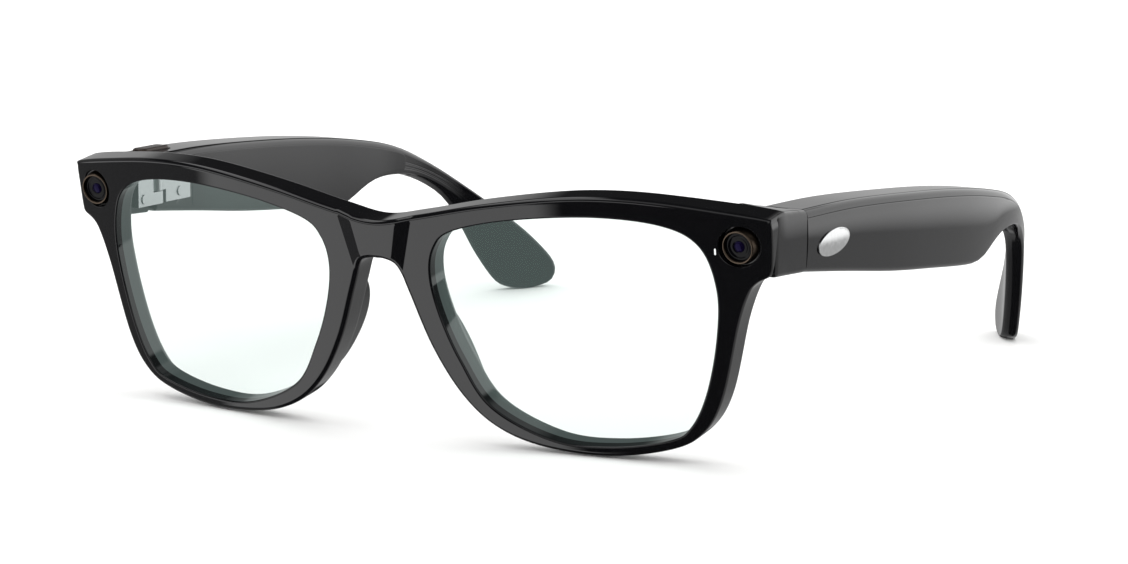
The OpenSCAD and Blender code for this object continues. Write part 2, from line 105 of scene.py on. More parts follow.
# Outline of the front's +X half, [x, z] from the top of the bridge round to its underside
RIM_HALF = [
    (0, 16.7), (7.8, 18), (19.3, 20.4), (31.5, 22.2), (40.5, 22.7), (49.8, 22.2), (60.4, 20.7),
    (66.7, 19.5), (67.3, 18.8), (67.4, 16.5), (67.1, 11), (66.4, 9.9), (64.7, 9), (63.3, 7.2),
    (61.4, 1.8), (58.2, -10.7), (54.4, -16.8), (48.6, -19.6), (38, -21.1), (27, -20.1),
    (19.2, -17.2), (13.5, -12.1), (8.8, -4.4), (5.3, 4.6), (3.5, 9.1), (1.6, 10.1), (0, 10.2),
]
# Opening of the +X lens, clockwise seen from ahead
OPENING = [
    (9.9, 8), (11, 12.8), (14.5, 15.8), (25, 18.2), (39, 19.3), (50.3, 18.2), (56.1, 14.9),
    (58.4, 8), (58, 0), (56, -9), (53.2, -15), (49.5, -17.6), (39.5, -19.2), (29.5, -18.6),
    (19.2, -13.8), (14.2, -6.1), (11.1, 1.5),
]
# Camera parts as [radius, depth], from the back round the outside to the front and in
BEZEL = [
    (3.05, 9.6), (3.05, 8.9), (3.04, 8.72), (2.98, 8.5), (2.72, 7.5), (2.68, 7.36), (2.6, 7.3),
    (2.46, 7.3), (2.38, 7.34), (2.33, 7.42), (2.3, 7.6), (2.3, 8.1),
]
COVER_GLASS = [
    (2.36, 8.3), (2.36, 7.95), (2.3, 7.88), (1.9, 7.84), (1.88, 7.9), (1.5, 7.98), (1.48, 7.94),
    (1.1, 7.9), (1.06, 8.0), (0.62, 8.0),
]
OPTIC = [
    (0.95, 8.2), (0.95, 8.0), (0.9, 7.93), (0.75, 7.86), (0.55, 7.8), (0.3, 7.77), (0.08, 7.76),
]
# Line of the +X nose pad along the rim, from the top down
NOSE_PAD = [(6.2, 5.2), (7.0, 1.5), (9.3, -3.6), (13.2, -10.4), (16.4, -13.6)]
# A badge's middle, [distance back, z], half length and half height, and slant
BADGE = (27.2, 14.6)
BADGE_HALF = (5.2, 2.1)
BADGE_SLANT = math.radians(7)
# Middle line of the strip along the back of the brow
BROW_HALF = [(0, 13.6), (9, 16.2), (20, 18.9), (32, 20.6), (42, 21), (52, 20.2), (57, 18.8)]
# A temple from above: outer face and thickness, [distance back, millimetres]
OUTER = [
    (10, 67.3), (35, 69), (60, 70.4), (85, 70.7), (105, 69), (122, 64.8), (135, 59.4), (148, 52),
]
THICK = [(10, 8.6), (40, 8.4), (85, 7.4), (105, 5.6), (120, 4.1), (148, 3.4)]
# A temple from the side: upper edge round the tip, and lower edge from the seam back
UPPER = [
    (18.7, 20.8), (35, 20.6), (55, 19.4), (75, 17.7), (92, 15.5), (106, 12.7), (117, 8.2),
    (127, 2.2), (137, -5.1), (143, -10.7), (146.7, -15.7), (146, -19.2), (142.5, -20.35),
]
LOWER = [
    (18.7, 10.7), (33, 8.9), (50, 6.6), (65, 5), (81, 3.4), (87, 3.6), (92, 5.3), (97, 6.6),
    (103, 7), (110, 6.4), (117, 4), (123, 0), (127, -5.9), (130.7, -12.4), (135.2, -18.6),
    (138.5, -20.35),
]


# ---------------------------------------------------------------- curves and meshes


def smooth_line(points, n=8, closed=False):
    """A smooth curve through the points, n steps to each span."""
    p = np.array(points, float)
    count = len(p)
    spans = count if closed else count - 1
    out = []
    for i in range(spans):
        pick = [(i + k) % count if closed else min(max(i + k, 0), count - 1) for k in (-1, 0, 1, 2)]
        a, b, c, d = p[pick]
        for t in np.arange(n) / n:
            out.append(0.5 * (2 * b + (c - a) * t + (2 * a - 5 * b + 4 * c - d) * t**2
                              + (3 * b - a - 3 * c + d) * t**3))
    if not closed:
        out.append(p[-1])
    return np.array(out)


def spaced(line, count):
    """The line as count points, an even distance apart."""
    s = np.r_[0, np.cumsum(np.linalg.norm(np.diff(line, axis=0), axis=1))]
    at = np.linspace(0, s[-1], count)
    return np.column_stack([np.interp(at, s, line[:, k]) for k in range(line.shape[1])])


def even(line, step, closed=False):
    """The line with its points about a step apart."""
    p = np.vstack([line, line[:1]]) if closed else line
    length = np.linalg.norm(np.diff(p, axis=0), axis=1).sum()
    points = spaced(p, max(4, int(round(length / step))) + 1)
    return points[:-1] if closed else points


def along_line(line, i):
    """The point at a fractional index along a line."""
    return np.array([np.interp(i, np.arange(len(line)), line[:, c]) for c in (0, 1)])


def left_normals(loop):
    """Unit normals on the left of a closed loop, which is the side its material is on."""
    t = np.roll(loop, -1, 0) - np.roll(loop, 1, 0)
    n = np.column_stack([-t[:, 1], t[:, 0]])
    return n / np.linalg.norm(n, axis=1)[:, None]


def unit(v):
    return v / np.maximum(np.linalg.norm(v, axis=-1, keepdims=True), 1e-12)


class Shape:
    """Points, normals and faces of one piece, gathered part by part."""

    def __init__(self):
        self.points, self.normals, self.faces, self.count = [], [], [], 0

    def add(self, points, normals):
        start = self.count
        self.points.append(np.asarray(points, float))
        self.normals.append(np.asarray(normals, float))
        self.count += len(points)
        return start

    def rings(self, starts, n):
        """Quads between successive rings of n points, whose first indices are starts."""
        for a, b in zip(starts[:-1], starts[1:]):
            for i in range(n):
                j = (i + 1) % n
                self.faces.append((a + i, b + i, b + j, a + j))

    def fan(self, start, n, hub, normal):
        """Triangles from a ring of n points to a hub."""
        middle = self.add([hub], [normal])
        self.faces += [(start + i, middle, start + (i + 1) % n) for i in range(n)]

    def place(self, to_row):
        """The points and normals carried into the row frame, in metres."""
        p, n = np.vstack(self.points), np.vstack(self.normals)
        q = to_row(p)
        m = to_row(p + n * 0.01) - q
        return q * MM, unit(m)


def oriented(points, normals, faces):
    """The faces, turned over if they don't agree with the normals."""
    agree = 0
    for face in faces[:400]:
        a, b, c = points[list(face[:3])]
        agree += np.sign(np.cross(b - a, c - a) @ normals[face[0]])
    return faces if agree > 0 else [tuple(reversed(face)) for face in faces]


def make(name, shape, to_row, body, material, replaces=(), flip=False):
    """Turns a shape, or its mirror image, into a smooth-shaded object that rides on a body."""
    points, normals = shape.place(to_row)
    if flip:
        points[:, 0] *= -1
        normals[:, 0] *= -1
    mesh = bpy.data.meshes.new(name)
    mesh.from_pydata(points.tolist(), [], oriented(points, normals, shape.faces))
    mesh.polygons.foreach_set("use_smooth", [True] * len(mesh.polygons))
    mesh.normals_split_custom_set_from_vertices(normals.tolist())
    mesh.materials.append(material)
    piece = bpy.data.objects.new(name, mesh)
    bpy.context.scene.collection.objects.link(piece)
    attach(piece, body)
    if replaces:
        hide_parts(*replaces)


def pair(name, shape, to_row, body, material, replaces):
    """Makes a left piece and its mirror image on the right. {} stands for the side in the names."""
    for side in ("left", "right"):
        make(name.format(side), shape, to_row, body.format(side), material,
             (replaces.format(side),), flip=side == "right")


def inside(points, loop):
    """Which points lie inside a closed loop."""
    x, y = points[:, 0][:, None], points[:, 1][:, None]
    x0, y0 = loop[:, 0], loop[:, 1]
    x1, y1 = np.roll(x0, -1), np.roll(y0, -1)
    crosses = (y0 > y) != (y1 > y)
    with np.errstate(divide="ignore", invalid="ignore"):
        at = x0 + (y - y0) * (x1 - x0) / (y1 - y0)
    return (crosses & (x < at)).sum(1) % 2 == 1


def within(points, loops):
    """Which points lie inside the first loop and outside the others."""
    keep = inside(points, loops[0])
    for hole in loops[1:]:
        keep &= ~inside(points, hole)
    return keep


def nearest(points, others):
    """How far each point is from the nearest of the others."""
    return np.sqrt(((points[:, None] - others[None]) ** 2).sum(2)).min(1)


def on_surface(surface, q):
    """Plane points lifted onto depth = surface(u, v)."""
    return np.column_stack([q[:, 0], surface(q[:, 0], q[:, 1]), q[:, 1]])


def slope_normal(surface, q, sign):
    """Normals of depth = surface(u, v), towards the front for sign -1 and the back for 1."""
    u, v = q[:, 0], q[:, 1]
    e = 0.05
    du = (surface(u + e, v) - surface(u - e, v)) / (2 * e)
    dv = (surface(u, v + e) - surface(u, v - e)) / (2 * e)
    return unit(np.column_stack([-sign * du, np.full(len(u), float(sign)), -sign * dv]))


def triangular_grid(low, high, pitch):
    """Points on a grid of triangles over a box."""
    rows = []
    for k, v in enumerate(np.arange(low[1], high[1], pitch * 0.87)):
        us = np.arange(low[0] + (k % 2) * pitch / 2, high[0], pitch)
        rows.append(np.column_stack([us, np.full(len(us), v)]))
    return np.vstack(rows)


def fill(shape, rings, surface, sign, pitch, creases=()):
    """Fills between rings, each (loop, first index), with triangles that follow a curved surface
    and its creases."""
    loops = [loop for loop, _ in rings]
    flat = np.vstack(loops)
    index = np.concatenate([start + np.arange(len(loop)) for loop, start in rings])
    grid = triangular_grid(loops[0].min(0), loops[0].max(0), pitch)
    grid = grid[within(grid, loops)]
    if len(grid):
        grid = grid[nearest(grid, flat) > pitch * 0.55]
    if len(creases):
        lines = np.array(creases)
        lines = lines[within(lines, loops)]
        lines = lines[nearest(lines, flat) > 0.12]
        grid = np.vstack([grid[nearest(grid, lines) > pitch * 0.4], lines])
    if len(grid):
        first = shape.add(on_surface(surface, grid), slope_normal(surface, grid, sign))
        index = np.concatenate([index, first + np.arange(len(grid))])
        flat = np.vstack([flat, grid])
    edges, at = [], 0
    for loop in loops:
        edges += [(at + i, at + (i + 1) % len(loop)) for i in range(len(loop))]
        at += len(loop)
    out = delaunay_2d_cdt([Vector(p) for p in flat], edges, [], 1, 1e-5)
    corners, triangles = np.array(out[0]), np.array(out[2])
    ids = []
    for corner, origin in zip(corners, out[3]):
        if origin:
            ids.append(int(index[origin[0]]))
        else:
            new = corner[None]
            ids.append(shape.add(on_surface(surface, new), slope_normal(surface, new, sign)))
    a, b, c = (corners[triangles[:, k]] for k in range(3))
    area = (b[:, 0] - a[:, 0]) * (c[:, 1] - a[:, 1]) - (b[:, 1] - a[:, 1]) * (c[:, 0] - a[:, 0])
    for triangle, good, turn in zip(triangles, within((a + b + c) / 3, loops), area):
        if good:
            face = [ids[v] for v in triangle]
            shape.faces.append(tuple(face if (turn > 0) == (sign < 0) else reversed(face)))


def gentle(loop, r):
    """Edge radii small enough not to fold over in the loop's tight outward corners."""
    t = unit(np.roll(loop, -1, 0) - np.roll(loop, 1, 0))
    ahead = np.roll(t, -1, 0)
    turn = t[:, 0] * ahead[:, 1] - t[:, 1] * ahead[:, 0]
    length = np.linalg.norm(np.roll(loop, -1, 0) - loop, axis=1)
    limit = np.minimum(r, 0.8 * length / np.maximum(turn, 1e-3))
    for _ in range(3):
        limit = np.minimum(limit, np.minimum(np.roll(limit, 1), np.roll(limit, -1)))
    return even_out(limit, 3)


def even_out(values, reach):
    """A closed run of values, each the average of its neighbours."""
    wrapped = np.concatenate([values[-reach:], values, values[:reach]])
    return np.convolve(wrapped, np.ones(2 * reach + 1) / (2 * reach + 1), "same")[reach:-reach]


def plate(loops, face, back, rounds, wells=(), creases=(), pitch=1.6, steps=5):
    """A plate between two curved surfaces, with rounded edges.

    loops are its outline and then its holes, each with the material on its left. rounds gives each
    loop its front and back edge radii. wells are (loop, floor depth) pockets in the front face.
    """
    shape = Shape()
    angles = np.linspace(math.pi / 2, 0, steps + 1)

    def edge(loop, r, run, surface, sign, into=1):
        """A rounded edge, as rings (loop, first index). into is -1 where it rounds out into a floor."""
        inward = left_normals(loop)
        side = np.column_stack([-inward[:, 0], np.zeros(len(loop)), -inward[:, 1]])
        rings = []
        for a in run:
            q = loop + into * inward * (r * (1 - math.cos(a)))[:, None]
            points = on_surface(surface, q)
            points[:, 1] -= sign * into * r * (1 - math.sin(a))
            normals = math.cos(a) * side + math.sin(a) * slope_normal(surface, q, sign)
            rings.append((q, shape.add(points, unit(normals))))
        return rings

    fronts, backs = [], []
    for loop, radii in zip(loops, rounds):
        front_r, back_r = (gentle(loop, np.broadcast_to(r, len(loop))) for r in radii)
        rings = edge(loop, front_r, angles, face, -1) + edge(loop, back_r, angles[::-1], back, 1)
        fronts.append(rings[0])
        backs.append(rings[-1])
        shape.rings([start for _, start in rings], len(loop))
    for loop, floor in wells:
        r = np.full(len(loop), WELL_ROUND)
        rings = edge(loop, r, angles, face, -1)
        rings += edge(loop, r, angles[::-1], lambda u, v: np.full(len(u), floor), -1, -1)
        fronts.append(rings[0])
        shape.rings([start for _, start in rings], len(loop))
        middle, start = rings[-1]
        shape.fan(start, len(loop), (middle[:, 0].mean(), floor, middle[:, 1].mean()), (0, -1, 0))
    fill(shape, fronts, face, -1, pitch, creases)
    fill(shape, backs, back, 1, pitch)
    return shape


def rounded(corners, radii, steps=5, flats=(1, 1, 1, 1)):
    """A closed outline with rounded corners, anticlockwise, and its outward normals.

    flats says into how many parts the straight run after each corner is cut.
    """
    c = np.array(corners, float)
    n = len(c)
    arcs = []
    for i in range(n):
        e1, e2 = unit(c[i] - c[i - 1]), unit(c[(i + 1) % n] - c[i])
        turn = math.atan2(e1[0] * e2[1] - e1[1] * e2[0], float(e1 @ e2))
        r = radii[i]
        reach = r * math.tan(abs(turn) / 2)
        start = c[i] - e1 * reach
        out = np.array([e1[1], -e1[0]])
        bend = math.copysign(1, turn)
        hub = start - bend * out * r
        points, normals = [], []
        for a in np.linspace(0, turn, steps + 1):
            m = np.array([out[0] * math.cos(a) - out[1] * math.sin(a),
                          out[0] * math.sin(a) + out[1] * math.cos(a)])
            points.append(hub + bend * m * r)
            normals.append(m)
        arcs.append((points, normals))
    points, normals = [], []
    for i in range(n):
        p, m = arcs[i]
        points += p
        normals += m
        q = arcs[(i + 1) % n][0][0]
        for k in range(1, flats[i]):
            points.append(p[-1] + (q - p[-1]) * k / flats[i])
            normals.append(m[-1])
    return np.array(points), np.array(normals)


def rounded_box(low, high, r, steps, flats):
    """A rectangle's outline with rounded corners."""
    (x0, y0), (x1, y1) = low, high
    return rounded([(x0, y0), (x1, y0), (x1, y1), (x0, y1)], (r,) * 4, steps, flats)[0]


def loft(stations, outline, carry, cap=0.15):
    """A solid swept through outlines. outline(t) gives 2-D points and normals, carry(t, points)
    carries them to space. Its two ends are flat, with edges rounded by cap."""
    e = 1e-3
    rows = []
    for t in stations:
        p, m = outline(t)
        along = np.column_stack([-m[:, 1], m[:, 0]])
        q = carry(t, p)
        side = carry(t, p + along * e) - carry(t, p - along * e)
        ahead = carry(t + e, outline(t + e)[0]) - carry(t - e, outline(t - e)[0])
        normal = unit(np.cross(ahead, side))
        rows.append((q, normal, unit(ahead.mean(0))))

    def end(row, sign):
        """The rings of one end's rounded edge, from the flat end outwards."""
        q, normal, ahead = row
        flat = unit(normal - np.outer(normal @ ahead, ahead))
        return [(q - flat * cap * (1 - math.cos(a)) + sign * ahead * cap * (math.sin(a) - 1),
                 unit(math.cos(a) * flat + sign * math.sin(a) * ahead))
                for a in np.linspace(math.pi / 2, 0, 4)[:-1]]

    first, last = rows[0], rows[-1]
    full = [*end(first, -1), (first[0] + first[2] * cap, first[1]),
            *(row[:2] for row in rows[1:-1]),
            (last[0] - last[2] * cap, last[1]), *end(last, 1)[::-1]]
    shape = Shape()
    starts = [shape.add(q, normal) for q, normal in full]
    n = len(first[0])
    shape.rings(starts, n)
    shape.faces.append(tuple(range(starts[0], starts[0] + n)))
    shape.faces.append(tuple(reversed(range(starts[-1], starts[-1] + n))))
    return shape


def lathe(profile, disc=False, turns=72):
    """A ring turned round the depth axis, or a disc, which is closed at the axis. profile is
    [radius, depth], from the back round the outside to the front and in."""
    shape = Shape()
    p = np.array(profile, float)
    t = np.gradient(p, axis=0)
    m = unit(np.column_stack([-t[:, 1], t[:, 0]]))
    a = np.linspace(0, 2 * math.pi, turns, endpoint=False)
    starts = []
    for (r, depth), (nr, nd) in zip(p, m):
        starts.append(shape.add(
            np.column_stack([r * np.cos(a), np.full(turns, depth), r * np.sin(a)]),
            np.column_stack([nr * np.cos(a), np.full(turns, nd), nr * np.sin(a)])))
    if disc:
        shape.rings(starts, turns)
        shape.fan(starts[-1], turns, (0, p[-1, 1], 0), (0, -1, 0))
        shape.faces = [tuple(reversed(face)) for face in shape.faces]
        shape.fan(starts[0], turns, (0, p[0, 1], 0), (0, 1, 0))
    else:
        shape.rings(starts + starts[:1], turns)
    return shape


# ---------------------------------------------------------------- frames and curved surfaces


def stand(p):
    """From the drawing's frame to the row frame, in millimetres."""
    return p + ORIGIN


def lean(p):
    """From the front's own frame to the row frame, in millimetres."""
    c, s = math.cos(LEAN), math.sin(LEAN)
    return np.column_stack([p[:, 0], p[:, 1] * c - p[:, 2] * s, p[:, 1] * s + p[:, 2] * c]) + ORIGIN


def bow(x):
    """How far back the front's face lies at x."""
    return 1.872e-3 * x**2 + 3.24e-8 * x**4


def crease_x(z):
    """Where the slanted facets beside the bridge end, away from the middle and towards it."""
    return 4.8 + 0.267 * (z - 7.7), 2.85 + 0.218 * (z - 10.8)


def bridge_rise(x, z, proud):
    """How far the bridge stands ahead of the rims: flat, with a slanted facet on each side."""
    outer, inner = crease_x(z)
    t = np.clip((outer - np.abs(x)) / np.maximum(outer - inner, 0.5), 0, 1)
    w = 0.1
    ramp = np.where(t < w, t**2 / (2 * w),
                    np.where(t < 1 - w, t - w / 2, 1 - w - (1 - t)**2 / (2 * w))) / (1 - w)
    return proud * ramp * np.clip((outer - inner) / 3.0, 0.4, 1.2)


def mirrored(points):
    """The points on the other side, in reverse order."""
    p = np.array(points, float)[::-1].copy()
    p[:, 0] *= -1
    return p


def outer_x(y):
    return np.interp(y, OUTER_LINE[:, 0], OUTER_LINE[:, 1])


def thick(y):
    return np.interp(y, THICK_LINE[:, 0], THICK_LINE[:, 1])


OUTER_LINE = smooth_line(OUTER, 16)
THICK_LINE = smooth_line(THICK, 16)
UPPER_LINE = even(smooth_line(UPPER, 16), 0.5)
LOWER_LINE = even(smooth_line(LOWER, 16), 0.5)


def upper_z(y):
    front = UPPER_LINE[: int(np.argmax(UPPER_LINE[:, 0]))]
    return np.interp(y, front[:, 0], front[:, 1])


def lower_z(y):
    return np.interp(y, LOWER_LINE[:, 0], LOWER_LINE[:, 1])


# ---------------------------------------------------------------- materials


def linear(hex_colour):
    """A linear RGBA colour from an sRGB hex value."""
    text = hex_colour.lstrip("#")
    parts = [int(text[i:i + 2], 16) / 255 for i in (0, 2, 4)]
    return [c / 12.92 if c <= 0.04045 else ((c + 0.055) / 1.055) ** 2.4 for c in parts] + [1.0]


def node(tree, kind, inputs=None, **settings):
    """Adds a node with its settings, and gives each input a value or a link."""
    made = tree.nodes.new(kind)
    for key, value in settings.items():
        setattr(made, key, value)
    for key, value in (inputs or {}).items():
        if isinstance(value, bpy.types.NodeSocket):
            tree.links.new(value, made.inputs[key])
        else:
            made.inputs[key].default_value = value
    return made


def blank(name):
    """An empty material's tree, with its output."""
    material = bpy.data.materials.new(name)
    material.use_nodes = True
    tree = material.node_tree
    tree.nodes.clear()
    return material, tree, node(tree, "ShaderNodeOutputMaterial")


def finish(name, low, high, grain_mm, rough, depth_mm=0.0, stretch=(1, 1, 1), **surface):
    """A solid material whose colour runs from low to high and whose roughness runs over rough, in
    a grain of a real size, with a surface that rises and falls by depth_mm. Colours are sRGB hex
    values, or linear ones from a setting. Pieces that share a finish share its material."""
    if name in bpy.data.materials:
        return bpy.data.materials[name]
    low, high = (linear(c) if isinstance(c, str) else [*c, 1.0] for c in (low, high))
    material, tree, output = blank(name)
    where = node(tree, "ShaderNodeTexCoord")
    scaled = node(tree, "ShaderNodeMapping", {"Vector": where.outputs["Object"], "Scale": stretch})
    grain = node(tree, "ShaderNodeTexNoise", {
        "Vector": scaled.outputs["Vector"], "Scale": 1 / (grain_mm * MM), "Detail": 4.0,
        "Roughness": 0.55})
    tone = node(tree, "ShaderNodeMix", {0: grain.outputs["Fac"], 6: low, 7: high}, data_type="RGBA")
    sheen = node(tree, "ShaderNodeMapRange", {
        "Value": grain.outputs["Fac"], "From Min": 0.3, "From Max": 0.7,
        "To Min": rough[0], "To Max": rough[1]})
    inputs = {"Base Color": tone.outputs[2], "Roughness": sheen.outputs["Result"]}
    if depth_mm:
        bump = node(tree, "ShaderNodeBump", {
            "Height": grain.outputs["Fac"], "Distance": depth_mm * MM, "Strength": 1.0})
        inputs["Normal"] = bump.outputs["Normal"]
    inputs.update({k.replace("_", " "): v for k, v in surface.items()})
    shader = node(tree, "ShaderNodeBsdfPrincipled", inputs)
    tree.links.new(shader.outputs["BSDF"], output.inputs["Surface"])
    return material


def shade(colour, share):
    """A darker tone of a colour."""
    return [c * share for c in colour]


def polished_nylon(colour):
    # Injection-moulded nylon, lacquered and polished: a deep black with clear reflections, which the
    # lacquer's faint orange peel, about 3 mm from crest to crest, makes very slightly uneven.
    return finish("polished_black_nylon", shade(colour, 0.64), colour, 3.0, (0.02, 0.05), 0.0012,
                  IOR=1.53)


def satin_nylon():
    # Moulded nylon from a finely etched tool: black with a soft, wider highlight. The etch is far finer
    # than a render shows, so it is drawn 0.4 mm across.
    return finish("satin_black_nylon", "#0c0c0e", "#141416", 0.4, (0.22, 0.34), 0.002, IOR=1.53)


def painted_shade_black():
    # Painted shade: a near-black matt sheet in gaps and slots, standing in for the shade at their
    # bottoms, which gives the eye nothing back.
    return finish("painted_shade_gap", "#020202", "#050505", 0.3, (0.6, 0.8))


def coated_lens(tint, coating):
    """Polycarbonate lens with an anti-reflection coating."""
    # Clear polycarbonate tinted very faintly blue-green by its filter. The coating leaves a weak
    # green reflection over dark things, and nearly none over light ones.
    material, tree, output = blank("coated_polycarbonate_lens")
    fresnel = node(tree, "ShaderNodeFresnel", {"IOR": 1.59})
    where = node(tree, "ShaderNodeNewGeometry")
    outside = node(tree, "ShaderNodeMath", {0: 1.0, 1: where.outputs["Backfacing"]},
                   operation="SUBTRACT")
    weak = node(tree, "ShaderNodeMath", {0: fresnel.outputs["Fac"], 1: 0.2}, operation="MULTIPLY")
    amount = node(tree, "ShaderNodeMath", {0: weak.outputs[0], 1: outside.outputs[0]},
                  operation="MULTIPLY")
    place = node(tree, "ShaderNodeTexCoord")
    smear = node(tree, "ShaderNodeTexNoise", {
        "Vector": place.outputs["Object"], "Scale": 1 / (14 * MM), "Detail": 1.0})
    film = node(tree, "ShaderNodeMix", {
        0: smear.outputs["Fac"], 6: [*coating, 1.0], 7: linear("#8fb8ad")}, data_type="RGBA")
    clear = node(tree, "ShaderNodeBsdfTransparent", {"Color": [*tint, 1.0]})
    gloss = node(tree, "ShaderNodeBsdfGlossy", {"Color": film.outputs[2], "Roughness": 0.01})
    mix = node(tree, "ShaderNodeMixShader", {
        "Fac": amount.outputs[0], 1: clear.outputs[0], 2: gloss.outputs[0]})
    # Painted light: a faint pale glow stands in for the little of the white room that the film
    # scatters, which lightens whatever is seen through it
    painted_room_glow = node(tree, "ShaderNodeEmission", {"Color": linear("#a6bab6"), "Strength": 1.0})
    share = node(tree, "ShaderNodeMath", {0: outside.outputs[0], 1: 0.16}, operation="MULTIPLY")
    both = node(tree, "ShaderNodeMixShader", {
        "Fac": share.outputs[0], 1: mix.outputs[0], 2: painted_room_glow.outputs[0]})
    tree.links.new(both.outputs[0], output.inputs["Surface"])
    return material


def anodised_bezel(colour):
    # Turned and anodised aluminium, dark bronze: fine turning marks, drawn 0.12 mm apart, blur its
    # reflections into a warm satin.
    return finish("anodised_bronze_aluminium", shade(colour, 0.48), colour, 0.12, (0.22, 0.32),
                  0.001, (1, 6, 1), Metallic=1.0)


def camera_cover():
    # Black-tinted cover glass, polished: nearly black, with one clear reflection.
    # Its anti-reflection coating takes most of that reflection away.
    return finish("black_cover_glass", "#020203", "#040406", 2.0, (0.01, 0.02), IOR=1.52,
                  Specular_IOR_Level=0.12)


def optic():
    # Coated front element of a camera: a small dark dome with a violet coating.
    return finish("coated_camera_optic", "#05030d", "#0c0720", 0.5, (0.02, 0.04), IOR=1.4,
                  Specular_IOR_Level=0.25, Specular_Tint=linear("#9a8cff"))


def steel_brushed():
    # Stamped nickel silver, tumbled: pale grey with a soft grain about 0.15 mm wide.
    return finish("tumbled_nickel_silver", "#c4c7c9", "#d6d8d8", 0.3, (0.28, 0.36), Metallic=1.0)


def badge_steel(colour):
    # Die-struck and polished stainless steel: bright, with faint ripples 0.8 mm apart from the die.
    return finish("polished_steel_badge", shade(colour, 0.78), colour, 0.8, (0.12, 0.2), 0.002,
                  Metallic=1.0)


def warm_button(colour):
    # Moulded polycarbonate with a metallic lacquer: brownish dark grey, with a fine sparkle drawn
    # 0.2 mm wide.
    return finish("brown_lacquered_polycarbonate", shade(colour, 0.41), colour, 0.2, (0.25, 0.38),
                  0.002, Metallic=0.45)


def light_window():
    # Frosted acrylic light pipe: milky white, glowing softly from within.
    return finish("frosted_acrylic", "#d9dcdc", "#f4f6f6", 0.3, (0.35, 0.5), 0.002, IOR=1.49,
                  Emission_Color=linear("#f6fbff"), Emission_Strength=0.05)


def gold_contact():
    # Hard gold plating on a turned pin: yellow metal, nearly mirror-bright.
    return finish("plated_gold_contact", "#c79a3c", "#dcb257", 0.1, (0.12, 0.2), Metallic=1.0)


def circuit_board():
    # Glass-epoxy board under green solder mask: the mask's weave shows at 0.5 mm.
    return finish("green_solder_mask", "#0f3d25", "#1d5a38", 0.5, (0.3, 0.45), 0.01, IOR=1.5)


def flex_film():
    # Polyimide film: amber and slightly waxy.
    return finish("amber_polyimide", "#8f4f14", "#b8721f", 1.0, (0.25, 0.4), 0.002, IOR=1.6)


def foil_pouch():
    # Aluminium laminate of a lithium pouch cell: dull silver with soft creases 2 mm apart.
    return finish("aluminium_pouch_foil", "#8e9296", "#b3b7bb", 2.0, (0.3, 0.45), 0.03, Metallic=0.9)


def painted_floor():
    # Matt white studio paper: pale and even, with a mottle a few centimetres across.
    return finish("matt_white_paper", "#f3f3f2", "#f8f8f7", 40.0, (0.7, 0.85))


# ---------------------------------------------------------------- settings


def length_setting(name, description, millimetres, least, most):
    """A length setting, in metres."""
    return bpy.props.FloatProperty(
        name=name, description=description, default=millimetres * MM, min=least * MM, max=most * MM,
        precision=5, unit="LENGTH", subtype="DISTANCE")


def colour_setting(name, description, hex_colour):
    """A colour setting, linear, with an sRGB hex default."""
    return bpy.props.FloatVectorProperty(
        name=name, description=description, default=linear(hex_colour)[:3], min=0, max=1, size=3,
        subtype="COLOR")


class SMARTGLASSES_PG_sizes(bpy.types.PropertyGroup):
    """Sizes that can be changed without leaving the frame's box"""

    edge_round: length_setting("Edge radius", "Radius of the front's outer edges", 0.9, 0.3, 1.3)
    opening_round: length_setting("Opening radius", "Radius of the lens openings' front edges",
                                  0.35, 0.1, 0.8)
    bridge_proud: length_setting("Bridge height", "How far the bridge stands ahead of the rims",
                                 0.55, 0, 1)
    temple_crown: length_setting("Temple crown", "How far a temple's outer face bulges", 0.3, 0, 0.8)


class SMARTGLASSES_PG_colours(bpy.types.PropertyGroup):
    """Colours of the finishes, and the brightness of the room"""

    plastic: colour_setting("Plastic", "Colour of the front and the temples", "#0b0b0d")
    bezel: colour_setting("Camera bezel", "Colour of the anodised camera bezels", "#62564b")
    badge: colour_setting("Badge", "Colour of the polished badges", "#e2e3e3")
    button: colour_setting("Capture button", "Colour of the capture button", "#453b36")
    lens_tint: colour_setting("Lens tint", "What one face of a lens lets through", "#fcfffe")
    lens_coating: colour_setting("Lens coating", "Colour of the lens coating's reflection", "#7fae9f")
    room_light: bpy.props.FloatProperty(
        name="Room light", description="Brightness of the white room around the glasses",
        default=1.35, min=0.1, max=3.0, subtype="FACTOR")


# ---------------------------------------------------------------- pieces


# Soft panels that the polished plastic mirrors: azimuth and elevation of the middle in degrees,
# half width and half height as tangents, softness of the edges, and brightness. Azimuth 0 is ahead
# of the glasses and 90 on the wearer's left.
PANELS = [
    (-36.5, -25, 0.31, 0.45, 0.03, 1.65),
    (-100, -12, 1.0, 1.2, 0.10, 0.24),
    (-140, 0, 0.5, 0.29, 0.07, 0.55),
    (155, 12, 0.75, 0.364, 0.05, 1.45),
    (155, -30, 0.9, 0.5, 0.1, 0.5),
    (-40, 15, 0.8, 0.13, 0.04, 1.6),
    (-75, 60, 0.6, 0.16, 0.06, 1.6),
    (60, 25, 0.35, 0.5, 0.15, 0.9),
    (175, 35, 0.25, 0.3, 0.1, 0.5),
    (20, 60, 0.5, 0.25, 0.15, 0.7),
]
WALL_LIGHT = 0.03
# The camera's axes and place: right, up, back and position, in columns
CAMERA_PLACE = [
    (0.8720, -0.0871, 0.4817, 0.2802),
    (0.4895, 0.1430, -0.8602, -0.5113),
    (0.0061, 0.9858, 0.1674, 0.1149),
    (0, 0, 0, 1),
]


